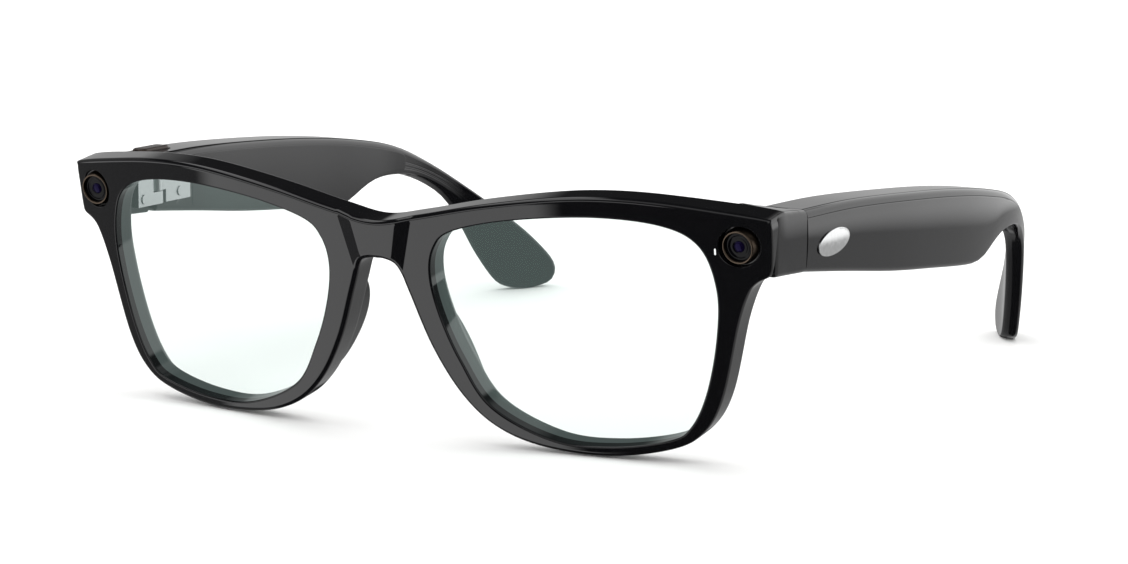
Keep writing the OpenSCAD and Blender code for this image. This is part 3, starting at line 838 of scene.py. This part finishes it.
def panel_light(tree, direction, azimuth, elevation, half_w, half_h, soft, strength):
    """The light of one panel, as seen in a direction."""
    a, e = math.radians(azimuth), math.radians(elevation)
    aim = (math.sin(a) * math.cos(e), -math.cos(a) * math.cos(e), math.sin(e))
    across = (math.cos(a), math.sin(a), 0)
    above = tuple(np.cross(across, aim))
    ahead = node(tree, "ShaderNodeVectorMath", {0: direction, 1: aim}, operation="DOT_PRODUCT")
    depth = node(tree, "ShaderNodeMath", {0: ahead.outputs["Value"], 1: 0.02}, operation="MAXIMUM")
    light = strength
    for axis, half in ((across, half_w), (above, half_h)):
        along = node(tree, "ShaderNodeVectorMath", {0: direction, 1: axis}, operation="DOT_PRODUCT")
        share = node(tree, "ShaderNodeMath", {0: along.outputs["Value"], 1: depth.outputs[0]},
                     operation="DIVIDE")
        away = node(tree, "ShaderNodeMath", {0: share.outputs[0]}, operation="ABSOLUTE")
        mask = node(tree, "ShaderNodeMapRange", {
            "Value": away.outputs[0], "From Min": half + soft, "From Max": max(half - soft, 0),
            "To Min": 0.0, "To Max": 1.0}, interpolation_type="SMOOTHSTEP")
        light = node(tree, "ShaderNodeMath", {0: light, 1: mask.outputs[0]},
                     operation="MULTIPLY").outputs[0]
    return light


class SMARTGLASSES_OT_stage(bpy.types.Operator):
    """Camera, white floor and studio surroundings"""

    bl_idname = "smart_glasses.stage"
    bl_label = "Stage"

    def execute(self, context):
        colours = context.scene.smart_glasses_colours
        scene = context.scene
        data = bpy.data.cameras.new("camera")
        data.lens = 102.53
        data.sensor_width = 36
        data.clip_start, data.clip_end = 0.01, 50
        camera = bpy.data.objects.new("camera", data)
        scene.collection.objects.link(camera)
        camera.matrix_world = Matrix(CAMERA_PLACE)
        scene.camera = camera
        scene.view_settings.view_transform = "Standard"

        # Floor: one large sheet of paper, which the polished plastic doesn't mirror
        row = 25
        at = np.linspace(-3.0, 3.0, row)
        points = [(x, y, CAD_LOW.z) for y in at for x in at]
        faces = [(k, k + 1, k + row + 1, k + row) for k in range(row * (row - 1)) if (k + 1) % row]
        mesh = bpy.data.meshes.new("floor")
        mesh.from_pydata(points, [], faces)
        mesh.materials.append(painted_floor())
        floor = bpy.data.objects.new("floor", mesh)
        scene.collection.objects.link(floor)
        floor.visible_glossy = False

        # Room: plain white for everything but reflections, which see soft panels on dark walls
        world = bpy.data.worlds.new("studio")
        scene.world = world
        world.use_nodes = True
        tree = world.node_tree
        tree.nodes.clear()
        direction = node(tree, "ShaderNodeTexCoord").outputs["Generated"]
        total = WALL_LIGHT
        for panel in PANELS:
            light = panel_light(tree, direction, *panel)
            total = node(tree, "ShaderNodeMath", {0: total, 1: light}, operation="MAXIMUM").outputs[0]
        seen = node(tree, "ShaderNodeBackground", {"Color": (1, 1, 1, 1), "Strength": total})
        room = node(tree, "ShaderNodeBackground", {
            "Color": (1, 1, 1, 1), "Strength": colours.room_light})
        path = node(tree, "ShaderNodeLightPath")
        mix = node(tree, "ShaderNodeMixShader", {
            "Fac": path.outputs["Is Glossy Ray"], 1: room.outputs[0], 2: seen.outputs[0]})
        node(tree, "ShaderNodeOutputWorld", {"Surface": mix.outputs[0]})

        # One wide softbox overhead, for a soft shadow under the glasses
        lamp = bpy.data.lights.new("softbox", "AREA")
        lamp.shape = "RECTANGLE"
        lamp.size, lamp.size_y = 1.6, 1.2
        lamp.energy = 6.0
        box = bpy.data.objects.new("softbox", lamp)
        scene.collection.objects.link(box)
        box.location = (-0.3, 0.2, 1.4)
        box.rotation_euler = (Vector((0, 0, 0)) - box.location).to_track_quat("-Z", "Y").to_euler()
        box.visible_glossy = False
        return {"FINISHED"}


class SMARTGLASSES_OT_front(bpy.types.Operator):
    """Front with its rims, bridge and camera wells, and the two end pieces"""

    bl_idname = "smart_glasses.front"
    bl_label = "Front"

    def execute(self, context):
        colours = context.scene.smart_glasses_colours
        sizes = context.scene.smart_glasses_sizes
        gloss = polished_nylon(colours.plastic)

        def face(x, z):
            return bow(x) - bridge_rise(x, z, sizes.bridge_proud / MM)

        def back(x, z):
            return bow(x) + FRONT_T

        half = smooth_line(RIM_HALF + [(-x, z) for x, z in RIM_HALF[-2:0:-1]], 10, closed=True)
        rim = even(half, 0.55, closed=True)[::-1]
        openings = [even(smooth_line(OPENING, 10, closed=True), 0.55, closed=True)]
        openings.append(mirrored(openings[0]))
        turn = np.linspace(0, -2 * math.pi, 120, endpoint=False)
        well = np.column_stack([np.cos(turn), np.sin(turn)]) * WELL_R
        heights = np.arange(-2, 20, 0.45)
        outer, inner = crease_x(heights)
        creases = [(s * (outer[i] + (inner[i] - outer[i]) * t), z) for s in (1, -1)
                   for t in CREASE_STEPS for i, z in enumerate(heights)]
        wells = [(well + np.array([s * CAMERA[0], CAMERA[1]]), WELL_FLOOR) for s in (1, -1)]
        edge = sizes.edge_round / MM
        near_end = (np.abs(rim[:, 0]) > 58) & (rim[:, 1] > 8.6)
        back_round = edge - (edge - 0.15) * even_out(near_end.astype(float), 9)
        opening_rounds = (sizes.opening_round / MM, 1.35)
        rounds = [(edge, back_round), opening_rounds, opening_rounds]
        made = plate([rim, *openings], face, back, rounds, wells, creases)
        make("front", made, lean, "front", gloss, ("front_frame",))

        def section(y):
            inner = 59.3 + (HINGE_CUT_X - 59.3) * np.clip((y - 16.2) / 0.15, 0, 1)
            sink = 0.9 * np.clip((9.2 - y) / 2.4, 0, 1) ** 1.5
            outer = np.interp(y, [8, 12, SEAM_Y], [67.42, 67.5, outer_x(SEAM_Y)]) - sink
            high = np.interp(y, [8, 11.2, SEAM_Y], [20.9, 21.35, 20.8]) - sink
            crest = np.interp(y, [8, 11.2, SEAM_Y], [21.9, 22.3, 20.8]) - sink
            low = np.interp(y, [6, 9, SEAM_Y], [11.6, 11.15, 10.7]) + sink
            corners = [(inner, low), (outer, low), (outer, high), (inner, crest)]
            edge = np.interp(y, [10, 14], [0.45, 1.0])
            return rounded(corners, (0.5, 0.8, edge, edge), 5, (2, 8, 3, 3))

        def carry(y, p):
            bulge = 0.14 * (1 - ((p[:, 1] - 16) / 5) ** 2) * np.clip((y - 9) / 3, 0, 1)
            x = p[:, 0] + np.where(p[:, 0] > 66, bulge, 0)
            return np.column_stack([x, np.full(len(p), y), p[:, 1]])

        stations = np.r_[np.linspace(8.3, 9.6, 5), np.linspace(10, 16.15, 8), 16.3, 16.42,
                         np.linspace(17, SEAM_Y - SEAM_GAP / 2, 4)]
        pair("end_piece_{}", loft(stations, section, carry), stand, "front", gloss,
             "camera_plug_{}")
        return {"FINISHED"}


class SMARTGLASSES_OT_brow_strip(bpy.types.Operator):
    """Strip that closes the wiring channel along the back of the brow"""

    bl_idname = "smart_glasses.brow_strip"
    bl_label = "Brow strip"

    def execute(self, context):
        line = even(smooth_line([(-x, z) for x, z in BROW_HALF[:0:-1]] + BROW_HALF, 8), 0.8)
        t = unit(np.gradient(line, axis=0))
        out = np.column_stack([-t[:, 1], t[:, 0]]) * 0.75
        loop = even(np.vstack([line - out, (line + out)[::-1]]), 0.7, closed=True)
        made = plate([loop], lambda x, z: bow(x) + FRONT_T - 0.5,
                     lambda x, z: bow(x) + FRONT_T + 0.06, [(0.05, 0.12)], pitch=3)
        make("brow_strip", made, lean, "front", satin_nylon(), ("brow_cover",))
        return {"FINISHED"}


class SMARTGLASSES_OT_lenses(bpy.types.Operator):
    """Clear coated lenses in the rims' grooves"""

    bl_idname = "smart_glasses.lenses"
    bl_label = "Lenses"

    def execute(self, context):
        colours = context.scene.smart_glasses_colours
        material = coated_lens(colours.lens_tint, colours.lens_coating)
        loop = even(smooth_line(OPENING, 10, closed=True), 0.9, closed=True)
        loop = (loop + left_normals(loop) * LENS_TUCK)[::-1]
        middle = loop.mean(0)

        def front(x, z):
            return bow(x) + LENS_Y + 0.001 * (z - middle[1]) ** 2

        def rear(x, z):
            return front(x, z) + LENS_T

        made = plate([loop], front, rear, [(0.15, 0.15)], pitch=2.2, steps=2)
        pair("lens_{}_clear", made, lean, "front", material, "lens_{}")
        return {"FINISHED"}


class SMARTGLASSES_OT_nose_pads(bpy.types.Operator):
    """Pads moulded onto the back of the rims beside the nose"""

    bl_idname = "smart_glasses.nose_pads"
    bl_label = "Nose pads"

    def execute(self, context):
        colours = context.scene.smart_glasses_colours
        edge = even(smooth_line(NOSE_PAD, 12), 0.4)
        t = unit(np.gradient(edge, axis=0))
        out = np.column_stack([-t[:, 1], t[:, 0]])
        if out[0, 0] < 0:
            out = -out
        last = len(edge) - 1

        def section(k):
            share = np.clip(k / last, 0, 1)
            rise = 3.0 * np.sin(math.pi * share ** 0.85) ** 0.8 if 0 < share < 1 else 0.0
            wide = 1.3 + 0.9 * math.sin(math.pi * share)
            lift = 0.5 * rise / 4.4
            corners = [(-0.05 - lift, FRONT_T - 1.5), (-0.05 - 1.6 * lift, FRONT_T + 0.2 + rise),
                       (wide * 0.66, FRONT_T + 0.15 + rise * 0.9), (wide, FRONT_T - 1.5)]
            return rounded(corners[::-1], (0.3, 0.85, 0.95, 0.3), 5, (2, 2, 3, 1))

        def carry(k, p):
            i = np.clip(k, 0, last)
            at, n, along = along_line(edge, i), unit(along_line(out, i)), unit(along_line(t, i))
            q = at + p[:, :1] * n + along * (k - i) * 0.4
            return np.column_stack([q[:, 0], p[:, 1] + bow(at[0]), q[:, 1]])

        made = loft(np.arange(0, last + 0.01, 1.5), section, carry, 0.1)
        pair("nose_pad_{}_moulded", made, lean, "front", polished_nylon(colours.plastic),
             "nose_pad_{}")
        return {"FINISHED"}


class SMARTGLASSES_OT_cameras(bpy.types.Operator):
    """Bezels, cover glasses and front elements of the two cameras, and the recording light"""

    bl_idname = "smart_glasses.cameras"
    bl_label = "Cameras"

    def execute(self, context):
        colours = context.scene.smart_glasses_colours

        def at(p):
            return lean(p + np.array([CAMERA[0], 0, CAMERA[1]]))

        pair("camera_bezel_{}_turned", lathe(BEZEL), at, "front", anodised_bezel(colours.bezel),
             "camera_bezel_{}")
        pair("camera_cover_{}", lathe(COVER_GLASS), at, "front", camera_cover(), "camera_window_{}")
        pair("camera_optic_{}", lathe(OPTIC, disc=True), at, "front", optic(), "camera_barrel_{}")
        turn = np.linspace(0, 2 * math.pi, 28, endpoint=False)
        c, s = np.cos(turn), np.sin(turn)
        window = np.column_stack([0.15 * c, 0.15 * s + 0.4 * np.sign(s)]) + RECORD_LIGHT
        made = plate([window], lambda x, z: bow(x) - 0.03, lambda x, z: bow(x) + 1.5,
                     [(0.08, 0.05)], pitch=0.4)
        make("record_light_window", made, lean, "front", light_window(), ("record_light",))
        return {"FINISHED"}


class SMARTGLASSES_OT_temples(bpy.types.Operator):
    """Temples, with the parting line, the notch for the hinge and the down-turned tips"""

    bl_idname = "smart_glasses.temples"
    bl_label = "Temples"

    def execute(self, context):
        colours = context.scene.smart_glasses_colours
        sizes = context.scene.smart_glasses_sizes
        crown = sizes.temple_crown / MM
        n = 110
        upper = spaced(UPPER_LINE, n)
        lower = spaced(LOWER_LINE, n)

        def edges(t):
            """The temple's upper and lower edges at station t, carried on past its ends."""
            i = np.clip(t, 0, n - 1)
            shift = np.array([(t - i) * 1.2, 0])
            return along_line(upper, i) + shift, along_line(lower, i) + shift

        def section(t):
            u, l = edges(t)
            high = np.linalg.norm(u - l)
            middle = (u + l) / 2
            wide = thick(middle[0])
            tip = np.clip((middle[0] - 95) / 30, 0, 1)
            cut = (HINGE_CUT_X - 59.35) if middle[0] < 20.95 else 0.0
            low, top = (11.9 - 10.7), (19.5 - 10.7)
            r = [0.9, 0.9, 1.1, 1.2]
            r = [a + (0.44 * wide - a) * tip for a in r]
            small = 0.04
            groove = 0.10 * np.clip((104 - middle[0]) / 6, 0, 1)
            line = high - max(1.45, r[2] + 0.35)
            corners = [
                (0, 0), (wide, 0),
                (wide, line - 0.14), (wide - groove, line), (wide, line + 0.14),
                (wide, high), (0, high),
                (0, top), (cut + 0.001, top), (cut + 0.001, low), (0, low)]
            if middle[0] > 26:
                corners[7:] = [(0, high * share) for share in (0.62, 0.55, 0.45, 0.38)]
            elif high < top + r[3] + 0.3:
                corners[7:] = [(x, high * share) for x, share in (
                    (0, 0.62), (0.001, 0.62), (0.001, 0.38), (0, 0.38))]
            radii = [r[0], r[1], 0.02, 0.05, 0.02, r[2], r[3], small, small, small, small]
            return rounded(corners, radii, 4, (3, 8, 1, 1, 1, 3, 2, 1, 2, 1, 2))

        def carry(t, p):
            u, l = edges(t)
            high = np.linalg.norm(u - l)
            middle = (u + l) / 2
            wide = thick(middle[0])
            share = p[:, 1] / high
            yz = l + np.outer(share, u - l)
            bulge = crown * (1 - (2 * share - 1) ** 2) * np.clip((125 - middle[0]) / 30, 0, 1)
            across = p[:, 0] / wide
            x = outer_x(yz[:, 0]) - thick(yz[:, 0]) * (1 - across) + (bulge - 0.6 * crown) * across
            return np.column_stack([x, yz])

        split = np.interp(20.95, (upper[:, 0] + lower[:, 0]) / 2, np.arange(n))
        stations = np.unique(np.r_[0, 0.3, split - 0.02, split + 0.02, np.arange(3, n - 14, 2.0),
                                   np.arange(n - 14, n - 0.5, 1.0), n - 1])
        pair("temple_{}_shell", loft(stations, section, carry), stand, "temple_{}",
             polished_nylon(colours.plastic), "temple_shell_{}")
        return {"FINISHED"}


class SMARTGLASSES_OT_temple_covers(bpy.types.Operator):
    """Inner covers of the temples, set into the shells"""

    bl_idname = "smart_glasses.temple_covers"
    bl_label = "Temple covers"

    def execute(self, context):
        colours = context.scene.smart_glasses_colours
        ys = np.linspace(30.5, 108, 60)
        loop = np.vstack([np.column_stack([ys, lower_z(ys) + 0.9]),
                          np.column_stack([ys, upper_z(ys) - 1.3])[::-1]])
        loop = even(smooth_corners(loop, 0.9), 0.8, closed=True)

        def outward(p):
            """The cover's plane lies along the temple's inner face, and its front faces the head."""
            return stand(np.column_stack([p[:, 1], p[:, 0], p[:, 2]]))

        def face(y, z):
            return outer_x(y) - thick(y) - 0.07

        def back(y, z):
            return face(y, z) + 0.8

        made = plate([loop], face, back, [(0.1, 0.05)], pitch=3.0, steps=3)
        pair("temple_cover_{}_inner", made, outward, "temple_{}", polished_nylon(colours.plastic),
             "temple_cover_{}")
        return {"FINISHED"}


def smooth_corners(loop, reach):
    """A closed loop with its corners rounded off over about reach millimetres."""
    dense = even(loop, reach / 4, closed=True)
    return np.column_stack([even_out(dense[:, 0], 4), even_out(dense[:, 1], 4)])


class SMARTGLASSES_OT_badges(bpy.types.Operator):
    """Plain oval badges on the temples' outer faces"""

    bl_idname = "smart_glasses.badges"
    bl_label = "Badges"

    def execute(self, context):
        colours = context.scene.smart_glasses_colours
        turn = np.linspace(0, 2 * math.pi, 96, endpoint=False)
        loop = np.column_stack([np.cos(turn), np.sin(turn)]) * BADGE_HALF
        c, s = math.cos(BADGE_SLANT), math.sin(BADGE_SLANT)
        loop = loop @ np.array([[c, s], [-s, c]]) + BADGE

        def face(y, z):
            """A low dome, which stands a third of a millimetre clear of the temple."""
            q = np.hypot((y - BADGE[0]) / BADGE_HALF[0], (z - BADGE[1]) / BADGE_HALF[1])
            return -0.34 - 0.16 * np.clip(1 - q ** 2, 0, 1)

        def back(y, z):
            return np.full(np.shape(y), 0.4)

        def outward(p):
            return stand(np.column_stack([outer_x(p[:, 0]) - p[:, 1], p[:, 0], p[:, 2]]))

        made = plate([loop], face, back, [(0.14, 0.05)], pitch=0.35, steps=4)
        pair("badge_{}", made, outward, "temple_{}", badge_steel(colours.badge), "emblem_{}")
        return {"FINISHED"}


class SMARTGLASSES_OT_controls(bpy.types.Operator):
    """Capture button, with painted shade in the gap round it and in the slot of the power switch"""

    bl_idname = "smart_glasses.controls"
    bl_label = "Controls"

    def execute(self, context):
        colours = context.scene.smart_glasses_colours
        low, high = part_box("capture_button")
        size = (high - low) / MM
        centre = (low + high) / 2 / MM
        top = high.z / MM

        half_x, half_y = size.x / 2, size.y / 2

        def section(y):
            """The bar's outline across, pulled in towards its two round ends."""
            into_end = max(min(abs(y), half_y) - half_y + BUTTON_END, 0) / BUTTON_END
            pull = 0.9 * (1 - math.sqrt(max(1 - into_end ** 2, 0)))
            half, high_z = half_x - pull, top + 0.02 - 0.35 * pull
            return rounded([(-half, top - 1.5), (half, top - 1.5), (half, high_z), (-half, high_z)],
                           (0.05, 0.05, 0.45, 0.45), 5, (1, 1, 2, 1))

        def carry(y, p):
            return np.column_stack([centre.x + p[:, 0], np.full(len(p), centre.y + y), p[:, 1]])

        ys = np.r_[np.linspace(-half_y, -half_y + 1.5, 9), np.linspace(-half_y + 2, half_y - 2, 5),
                   np.linspace(half_y - 1.5, half_y, 9)]
        make("capture_button_bar", loft(ys, section, carry, 0.1), np.copy, "capture_button",
             warm_button(colours.button), ("capture_button",))

        def rectangle(grow):
            a, b = half_x + grow, half_y + grow
            return rounded_box((-a, -b), (a, b), 1.1, 6, (3, 9, 3, 9))

        def upward(p):
            return np.column_stack([centre.x + p[:, 0], centre.y + p[:, 2], top - 0.56 - p[:, 1]])

        # Painted shade: a near-black ring sheet 0.56 mm below the button's top, in the gap round it
        made = plate([rectangle(0.2), rectangle(0.04)[::-1]], lambda x, y: np.zeros(np.shape(x)),
                     lambda x, y: np.full(np.shape(x), 0.5), [(0.03, 0.03), (0.02, 0.02)],
                     pitch=1.0, steps=2)
        make("capture_button_gap_painted_shade", made, upward, "temple_right", painted_shade_black())

        low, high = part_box("power_switch")
        y0, y1 = low.y / MM - ORIGIN[1] + 0.65, high.y / MM - ORIGIN[1] - 0.65 + 2.0
        z0, z1 = low.z / MM - ORIGIN[2] + 0.65, high.z / MM - ORIGIN[2] - 0.65
        loop = rounded_box((y0, z0), (y1, z1), 0.5, 6, (8, 4, 8, 4))

        def outward(p):
            return stand(np.column_stack([p[:, 1], p[:, 0], p[:, 2]]))

        # Painted shade: a near-black sheet on the temple's inner face, where the power switch's slot is
        made = plate([loop], lambda y, z: outer_x(y) - thick(y) - 0.10,
                     lambda y, z: outer_x(y) - thick(y) + 0.3, [(0.02, 0.02)], pitch=1.0, steps=2)
        make("power_switch_slot_painted_shade", made, outward, "temple_left", painted_shade_black())
        return {"FINISHED"}


class SMARTGLASSES_OT_grilles(bpy.types.Operator):
    """Slotted speaker grilles in the temples' undersides"""

    bl_idname = "smart_glasses.grilles"
    bl_label = "Speaker grilles"

    def execute(self, context):
        low, high = (np.array(c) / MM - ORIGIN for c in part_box("speaker_grille_left"))
        outline = rounded_box(low[:2], high[:2], 0.5, 5, (3, 9, 3, 9))
        middle = (low[0] + high[0]) / 2
        slot = rounded_box((-0.8, -0.35), (0.8, 0.35), 0.3, 4, (2, 1, 2, 1))
        slots = [(slot + np.array([middle, low[1] + 1.3 + 1.6 * k]))[::-1] for k in range(5)]

        def downward(p):
            """The grille's plane is the temple's underside, and its front faces down."""
            return stand(np.column_stack([p[:, 0], p[:, 2], lower_z(p[:, 2]) + p[:, 1]]))

        made = plate([outline, *slots], lambda x, y: np.full(np.shape(x), -0.08),
                     lambda x, y: np.full(np.shape(x), 0.25),
                     [(0.06, 0.05)] + [(0.05, 0.02)] * len(slots), pitch=0.6, steps=2)
        pair("grille_{}", made, downward, "temple_{}", satin_nylon(), "speaker_grille_{}")
        return {"FINISHED"}


class SMARTGLASSES_OT_hardware(bpy.types.Operator):
    """Finishes of the parts that are shown as designed: hinges, screws, boards and cells"""

    bl_idname = "smart_glasses.hardware"
    bl_label = "Hardware"

    def execute(self, context):
        steel, board, flex = steel_brushed(), circuit_board(), flex_film()
        dark, gold, foil = satin_nylon(), gold_contact(), foil_pouch()
        finishes = {
            "front_leaf": steel, "temple_leaf": steel, "hinge_pin": steel, "tip_core": steel,
            "shield_can": steel, "charge_contacts": gold, "bridge_microphone": gold, "microphone": gold,
            "camera_board": board, "charge_board": board, "main_board": board, "front_flex": flex,
            "touch_sensor": flex, "battery": foil,
        }
        for name, piece in frame["nodes"].items():
            if piece.hide_render:
                continue
            material = next((m for key, m in finishes.items() if name.startswith(key)), dark)
            piece.data.materials.clear()
            piece.data.materials.append(material)
        return {"FINISHED"}


OPERATORS = [
    SMARTGLASSES_OT_stage, SMARTGLASSES_OT_front, SMARTGLASSES_OT_brow_strip, SMARTGLASSES_OT_lenses,
    SMARTGLASSES_OT_nose_pads, SMARTGLASSES_OT_cameras, SMARTGLASSES_OT_temples,
    SMARTGLASSES_OT_temple_covers, SMARTGLASSES_OT_badges, SMARTGLASSES_OT_controls,
    SMARTGLASSES_OT_grilles, SMARTGLASSES_OT_hardware,
]


class SMARTGLASSES_PT_panel(bpy.types.Panel):
    """Lists the pieces and their settings"""

    bl_label = "Smart glasses"
    bl_idname = "SMARTGLASSES_PT_panel"
    bl_space_type = "VIEW_3D"
    bl_region_type = "UI"
    bl_category = "Smart glasses"

    def draw(self, context):
        for settings in (context.scene.smart_glasses_sizes, context.scene.smart_glasses_colours):
            for name in settings.__annotations__:
                self.layout.prop(settings, name)
        for operator in OPERATORS:
            self.layout.operator(operator.bl_idname)


CLASSES = [SMARTGLASSES_PG_sizes, SMARTGLASSES_PG_colours, *OPERATORS, SMARTGLASSES_PT_panel]


def register():
    for kind in CLASSES:
        bpy.utils.register_class(kind)
    bpy.types.Scene.smart_glasses_sizes = bpy.props.PointerProperty(type=SMARTGLASSES_PG_sizes)
    bpy.types.Scene.smart_glasses_colours = bpy.props.PointerProperty(type=SMARTGLASSES_PG_colours)


def unregister():
    del bpy.types.Scene.smart_glasses_colours
    del bpy.types.Scene.smart_glasses_sizes
    for kind in reversed(CLASSES):
        bpy.utils.unregister_class(kind)


def main():
    register()
    for operator in OPERATORS:
        group, name = operator.bl_idname.split(".")
        getattr(getattr(bpy.ops, group), name)()


if __name__ == "__main__":
    main()
